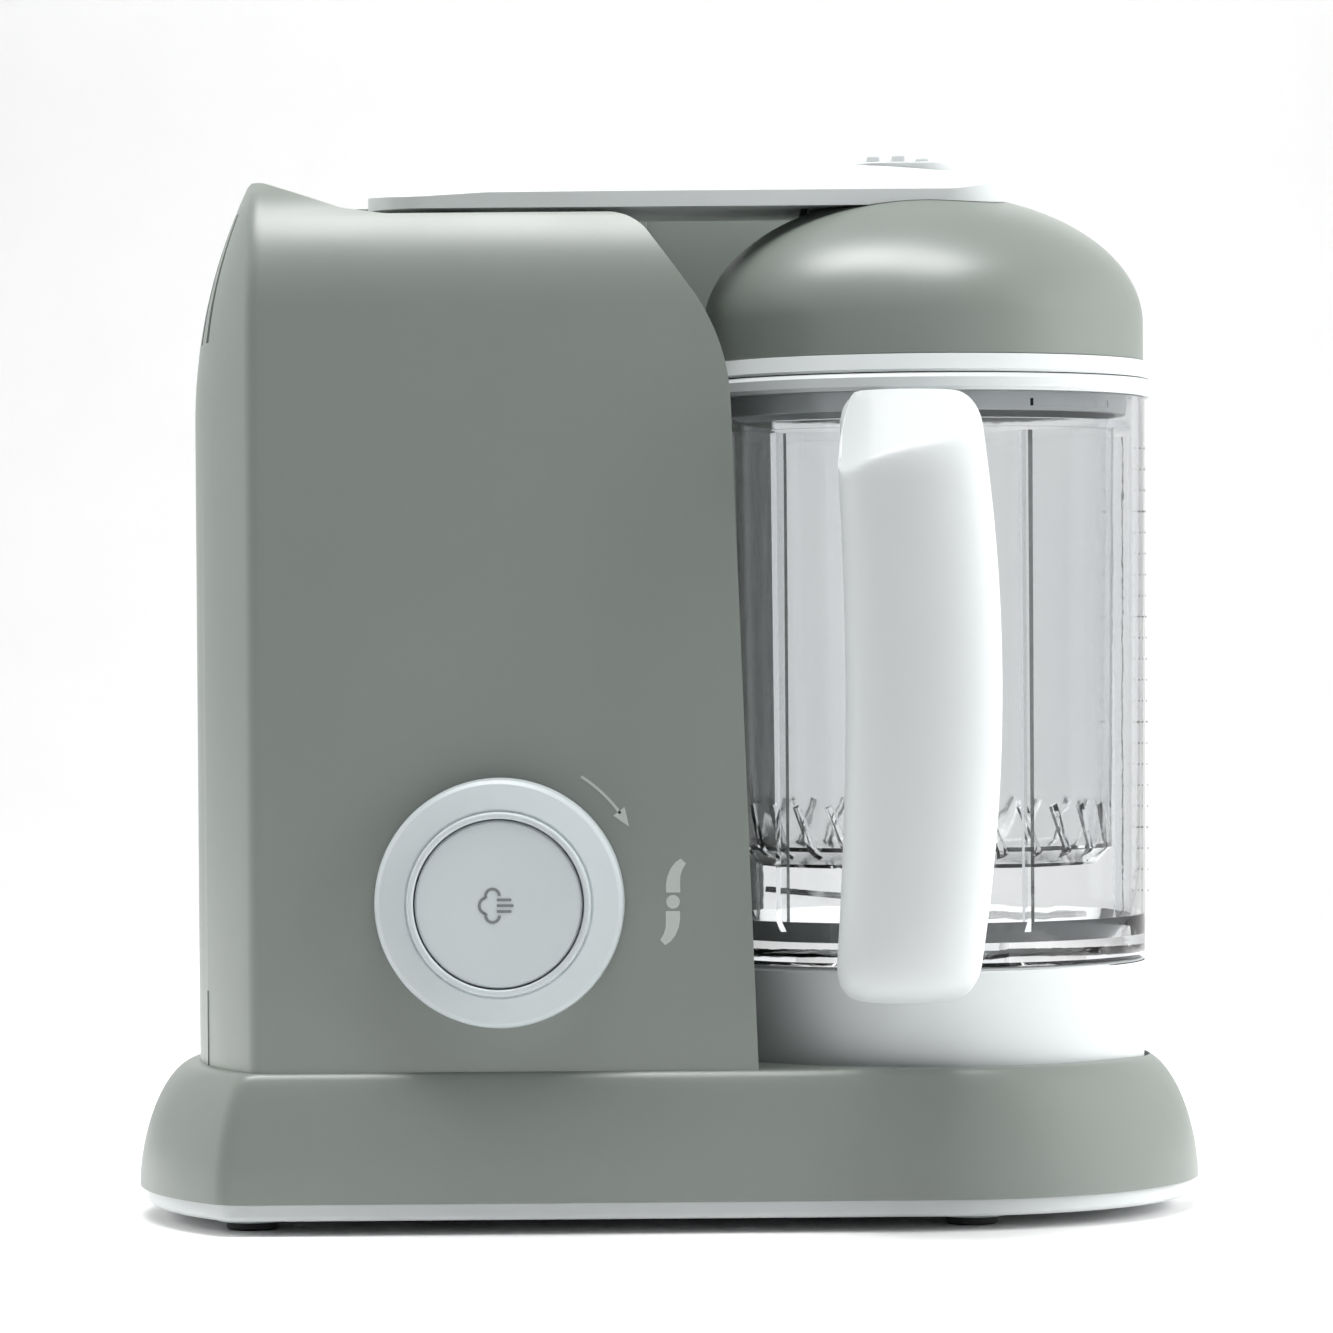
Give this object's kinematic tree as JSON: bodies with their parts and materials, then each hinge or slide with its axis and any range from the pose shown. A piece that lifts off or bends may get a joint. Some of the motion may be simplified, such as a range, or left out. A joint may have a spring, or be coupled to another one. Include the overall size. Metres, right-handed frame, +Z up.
{
  "type": "baby food maker",
  "caption": "Counter-top baby food maker: a column with a water boiler and a dial, and a clear steaming and blending jar with a handle under a domed lid with a long arm.",
  "frame": {"origin": "on the table, under the middle of the whole object", "axes": "+X to the right seen from the front, +Y to the back, +Z up"},
  "size_m": [0.26, 0.1662, 0.2586],
  "materials": {
    "sage_plastic": "fine satin moulded plastic, grey green",
    "white_plastic": "smooth white moulded plastic",
    "dial_plastic": "satin cool white plastic",
    "clear_plastic": "clear copolyester with a faint grey violet edge tint",
    "white_silicone": "white silicone",
    "grey_silicone": "translucent grey silicone",
    "black_rubber": "black rubber",
    "bright_screws": "zinc plated steel",
    "stainless_steel": "stainless steel sheet",
    "spring_steel": "spring wire",
    "motor_steel": "plated steel",
    "laminated_core": "laminated core with varnished copper windings",
    "ferrite": "dark ferrite",
    "aluminium": "pressed aluminium",
    "bronze": "sintered bronze",
    "black_nylon": "black nylon",
    "circuit_board": "glass-fibre board with soldered parts"
  },
  "bodies": {
    "housing": {"base_cover": "sage_plastic", "base_tray": "white_plastic", "rubber_feet": "black_rubber", "tray_screws": "bright_screws", "column_shell": "sage_plastic", "column_screws": "bright_screws", "rear_cover": "sage_plastic", "rear_cover_screws": "bright_screws", "cord_gland": "black_rubber", "motor_can": "motor_steel", "motor_magnets": "ferrite", "motor_bracket": "stainless_steel", "drive_belt": "black_rubber", "coupling_bush": "bronze", "boiler_tank": "stainless_steel", "mouth_seal": "grey_silicone", "boiler_heater": "aluminium", "boiler_thermostat": "aluminium", "thermal_fuse": "black_nylon", "boiler_bracket": "stainless_steel", "control_board": "circuit_board", "board_posts": "black_nylon", "switch_plate": "black_nylon", "steam_switch": "black_nylon", "blade_switch": "black_nylon", "dial_spring": "spring_steel", "button_spring": "spring_steel"},
    "dial": {"dial_knob": "dial_plastic", "dial_clip": "spring_steel"},
    "button": {"steam_button": "dial_plastic"},
    "rotor": {"motor_shaft": "motor_steel", "motor_armature": "laminated_core", "cooling_fan": "black_nylon", "drive_pulley": "black_nylon"},
    "coupling": {"coupling_shaft": "motor_steel", "driven_pulley": "black_nylon", "drive_dog": "black_nylon"},
    "collar": {"jar_collar": "white_plastic", "collar_seal": "grey_silicone", "blade_bush": "bronze"},
    "blades": {"blade_shaft": "stainless_steel", "blade_socket": "black_nylon", "chopping_blades": "stainless_steel", "blade_nut": "stainless_steel"},
    "jar": {"jar_bowl": "clear_plastic", "handle_front": "white_plastic", "handle_back": "white_plastic"},
    "basket": {"steam_basket": "clear_plastic"},
    "rim_ring": {"lid_seal": "white_silicone"},
    "lid": {"lid_ring": "white_plastic", "lid_dome": "sage_plastic", "lid_arm": "white_plastic", "arm_plate": "white_plastic", "arm_gasket": "grey_silicone"},
    "latch": {"latch_slider": "white_plastic"}
  },
  "joints": [
    {"name": "dial_turn", "type": "hinge", "parent": "housing", "child": "dial", "pos_m": [-0.0395, -0.0429, 0.078], "axis": [0, 1, 0], "range_deg": [0, 35], "stiffness_Nm_per_rad": 0.15, "springref_deg": -11.46},
    {"name": "button_press", "type": "slide", "parent": "housing", "child": "button", "axis": [0, 1, 0], "range_m": [0, 0.002], "stiffness_N_per_m": 400, "springref_m": -0.001},
    {"name": "motor_spin", "type": "hinge", "parent": "housing", "child": "rotor", "pos_m": [-0.052, 0.0171, 0.1], "axis": [0, 0, 1], "continuous": true},
    {"name": "coupling_spin", "type": "hinge", "parent": "housing", "child": "coupling", "pos_m": [0.064, 0.0171, 0.03], "axis": [0, 0, 1], "continuous": true},
    {"name": "jar_lift", "type": "slide", "parent": "housing", "child": "collar", "axis": [0, 0, 1], "range_m": [0, 0.2]},
    {"name": "blade_spin", "type": "hinge", "parent": "collar", "child": "blades", "pos_m": [0.064, 0.0171, 0.06], "axis": [0, 0, 1], "continuous": true},
    {"name": "jar_turn", "type": "hinge", "parent": "collar", "child": "jar", "pos_m": [0.064, 0.0171, 0.061], "axis": [0, 0, 1], "range_deg": [0, 30]},
    {"name": "basket_lift", "type": "slide", "parent": "jar", "child": "basket", "axis": [0, 0, 1], "range_m": [0, 0.096]},
    {"name": "lid_lift", "type": "slide", "parent": "jar", "child": "rim_ring", "axis": [0, 0, 1], "range_m": [0, 0.16]},
    {"name": "lid_turn", "type": "hinge", "parent": "rim_ring", "child": "lid", "pos_m": [0.064, 0.0171, 0.202], "axis": [0, 0, 1], "range_deg": [0, 40]},
    {"name": "latch_slide", "type": "slide", "parent": "lid", "child": "latch", "axis": [-1, 0, 0], "range_m": [0, 0.003], "stiffness_N_per_m": 300, "springref_m": -0.001}
  ],
  "couplings": [
    {"joint": "coupling_spin", "follows": "motor_spin", "ratio": 0.5},
    {"joint": "blade_spin", "follows": "motor_spin", "ratio": 0.5},
    {"joint": "basket_lift", "follows": "lid_lift", "ratio": 0.6}
  ]
}
